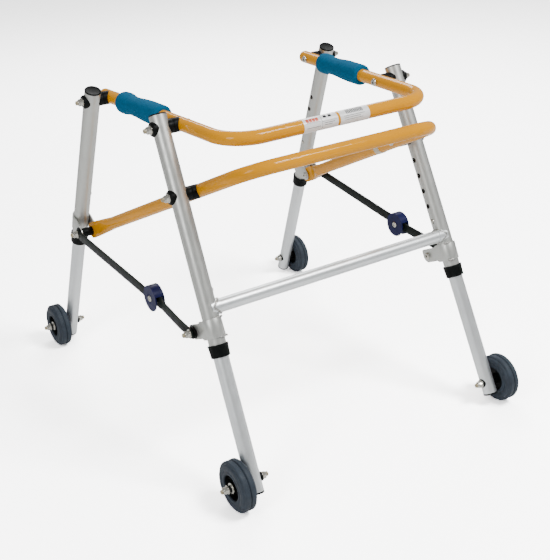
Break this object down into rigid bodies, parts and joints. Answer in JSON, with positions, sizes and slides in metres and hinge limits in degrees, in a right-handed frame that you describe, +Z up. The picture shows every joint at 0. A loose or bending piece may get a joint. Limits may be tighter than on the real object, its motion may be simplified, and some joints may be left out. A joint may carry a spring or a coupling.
{
  "type": "folding wheeled walking frame",
  "caption": "Child-size folding walking frame on four wheels, with a padded handle loop, a sloping guard loop, height-adjustable legs and knee braces that let it fold flat.",
  "frame": {"origin": "on the floor, below the middle of the box round the walker", "axes": "-Y is the front of the walker, +X its left side, +Z up"},
  "size_m": [0.573, 0.681, 0.5095],
  "materials": {
    "anodised_tube": "satin anodised aluminium",
    "yellow_coat": "glossy yellow powder coat",
    "blue_foam": "matt closed-cell foam",
    "black_plastic": "moulded black plastic",
    "black_steel": "satin black coated steel",
    "zinc_steel": "bright zinc plate",
    "navy_plastic": "moulded navy plastic",
    "grey_tyre": "solid grey rubber",
    "label_film": "printed film with plain blocks",
    "clear_band": "milky clear film"
  },
  "bodies": {
    "front_frame": {"front_leg_left": "anodised_tube", "front_leg_right": "anodised_tube", "crossbar": "anodised_tube", "front_clamp_left": "anodised_tube", "front_clamp_right": "anodised_tube", "front_fittings": "black_plastic", "front_bolts": "zinc_steel"},
    "handle": {"handle_loop": "yellow_coat", "grip_left": "blue_foam", "grip_right": "blue_foam", "handle_fittings": "black_plastic", "handle_bolts": "zinc_steel", "label": "label_film"},
    "guard": {"guard_loop": "yellow_coat", "guard_fittings": "black_plastic", "guard_bands": "clear_band"},
    "rear_frame_left": {"rear_leg_left": "anodised_tube", "rear_clamp_left": "anodised_tube", "rear_fittings_left": "black_plastic", "rear_bolts_left": "zinc_steel"},
    "brace_back_left": {"brace_rear_left": "black_steel", "knee_hub_left": "navy_plastic", "knee_bolt_left": "zinc_steel"},
    "brace_fore_left": {"brace_front_left": "black_steel", "brace_nut_left": "zinc_steel"},
    "shin_front_left": {"lower_leg_front_left": "anodised_tube", "foot_front_left": "black_plastic", "axle_front_left": "zinc_steel"},
    "button_front_left": {"snap_front_left": "zinc_steel"},
    "wheel_front_left": {"rim_front_left": "black_plastic", "tyre_front_left": "grey_tyre"},
    "shin_rear_left": {"lower_leg_rear_left": "anodised_tube", "foot_rear_left": "black_plastic", "axle_rear_left": "zinc_steel"},
    "button_rear_left": {"snap_rear_left": "zinc_steel"},
    "wheel_rear_left": {"rim_rear_left": "black_plastic", "tyre_rear_left": "grey_tyre"},
    "rear_frame_right": {"rear_leg_right": "anodised_tube", "rear_clamp_right": "anodised_tube", "rear_fittings_right": "black_plastic", "rear_bolts_right": "zinc_steel"},
    "brace_back_right": {"brace_rear_right": "black_steel", "knee_hub_right": "navy_plastic", "knee_bolt_right": "zinc_steel"},
    "brace_fore_right": {"brace_front_right": "black_steel", "brace_nut_right": "zinc_steel"},
    "shin_front_right": {"lower_leg_front_right": "anodised_tube", "foot_front_right": "black_plastic", "axle_front_right": "zinc_steel"},
    "button_front_right": {"snap_front_right": "zinc_steel"},
    "wheel_front_right": {"rim_front_right": "black_plastic", "tyre_front_right": "grey_tyre"},
    "shin_rear_right": {"lower_leg_rear_right": "anodised_tube", "foot_rear_right": "black_plastic", "axle_rear_right": "zinc_steel"},
    "button_rear_right": {"snap_rear_right": "zinc_steel"},
    "wheel_rear_right": {"rim_rear_right": "black_plastic", "tyre_rear_right": "grey_tyre"}
  },
  "joints": [
    {"name": "fold", "type": "hinge", "parent": "front_frame", "child": "guard", "pos_m": [0, -0.12484, 0.401], "axis": [1, 0, 0], "range_deg": [-69, 0]},
    {"name": "handle_fold", "type": "hinge", "parent": "front_frame", "child": "handle", "pos_m": [0, -0.0827, 0.487], "axis": [1, 0, 0], "range_deg": [-84.47, 0]},
    {"name": "rear_fold_left", "type": "hinge", "parent": "guard", "child": "rear_frame_left", "pos_m": [0, 0.18657, 0.25033], "axis": [1, 0, 0], "range_deg": [0, 32.67]},
    {"name": "brace_fold_left", "type": "hinge", "parent": "rear_frame_left", "child": "brace_back_left", "pos_m": [0, 0.18657, 0.25033], "axis": [1, 0, 0], "range_deg": [-72.36, 0]},
    {"name": "knee_fold_left", "type": "hinge", "parent": "brace_back_left", "child": "brace_fore_left", "pos_m": [0, -0.06211, 0.22776], "axis": [1, 0, 0], "range_deg": [0, 149.12]},
    {"name": "height_front_left", "type": "slide", "parent": "front_frame", "child": "shin_front_left", "axis": [-0.0266, 0.4399, 0.8976], "range_m": [0, 0.1], "deforming": ["snap_front_left"]},
    {"name": "snap_front_left", "type": "slide", "parent": "shin_front_left", "child": "button_front_left", "axis": [0.9996, 0, 0.0297], "range_m": [0, 0.0035], "stiffness_N_per_m": 600},
    {"name": "spin_front_left", "type": "hinge", "parent": "shin_front_left", "child": "wheel_front_left", "pos_m": [0.219, -0.303, 0.0375], "axis": [1, 0, 0], "continuous": true},
    {"name": "height_rear_left", "type": "slide", "parent": "rear_frame_left", "child": "shin_rear_left", "axis": [-0.0356, -0.3714, 0.9278], "range_m": [0, 0.1], "deforming": ["snap_rear_left"]},
    {"name": "snap_rear_left", "type": "slide", "parent": "shin_rear_left", "child": "button_rear_left", "axis": [0.9993, 0, 0.0384], "range_m": [0, 0.0035], "stiffness_N_per_m": 600},
    {"name": "spin_rear_left", "type": "hinge", "parent": "shin_rear_left", "child": "wheel_rear_left", "pos_m": [0.2345, 0.303, 0.0375], "axis": [1, 0, 0], "continuous": true},
    {"name": "rear_fold_right", "type": "hinge", "parent": "guard", "child": "rear_frame_right", "pos_m": [0, 0.18657, 0.25033], "axis": [1, 0, 0], "range_deg": [0, 32.67]},
    {"name": "brace_fold_right", "type": "hinge", "parent": "rear_frame_right", "child": "brace_back_right", "pos_m": [0, 0.18657, 0.25033], "axis": [1, 0, 0], "range_deg": [-72.36, 0]},
    {"name": "knee_fold_right", "type": "hinge", "parent": "brace_back_right", "child": "brace_fore_right", "pos_m": [0, -0.06211, 0.22776], "axis": [1, 0, 0], "range_deg": [0, 149.12]},
    {"name": "height_front_right", "type": "slide", "parent": "front_frame", "child": "shin_front_right", "axis": [0.0266, 0.4399, 0.8976], "range_m": [0, 0.1], "deforming": ["snap_front_right"]},
    {"name": "snap_front_right", "type": "slide", "parent": "shin_front_right", "child": "button_front_right", "axis": [-0.9996, 0, 0.0297], "range_m": [0, 0.0035], "stiffness_N_per_m": 600},
    {"name": "spin_front_right", "type": "hinge", "parent": "shin_front_right", "child": "wheel_front_right", "pos_m": [-0.219, -0.303, 0.0375], "axis": [1, 0, 0], "continuous": true},
    {"name": "height_rear_right", "type": "slide", "parent": "rear_frame_right", "child": "shin_rear_right", "axis": [0.0356, -0.3714, 0.9278], "range_m": [0, 0.1], "deforming": ["snap_rear_right"]},
    {"name": "snap_rear_right", "type": "slide", "parent": "shin_rear_right", "child": "button_rear_right", "axis": [-0.9993, 0, 0.0384], "range_m": [0, 0.0035], "stiffness_N_per_m": 600},
    {"name": "spin_rear_right", "type": "hinge", "parent": "shin_rear_right", "child": "wheel_rear_right", "pos_m": [-0.2345, 0.303, 0.0375], "axis": [1, 0, 0], "continuous": true}
  ],
  "couplings": [
    {"joint": "handle_fold", "follows": "fold", "ratio": 1.217},
    {"joint": "rear_fold_left", "follows": "fold", "ratio": -0.46617},
    {"joint": "brace_fold_left", "follows": "fold", "ratio": 1.0414},
    {"joint": "knee_fold_left", "follows": "fold", "ratio": -2.154},
    {"joint": "rear_fold_right", "follows": "fold", "ratio": -0.46617},
    {"joint": "brace_fold_right", "follows": "fold", "ratio": 1.0414},
    {"joint": "knee_fold_right", "follows": "fold", "ratio": -2.154}
  ]
}
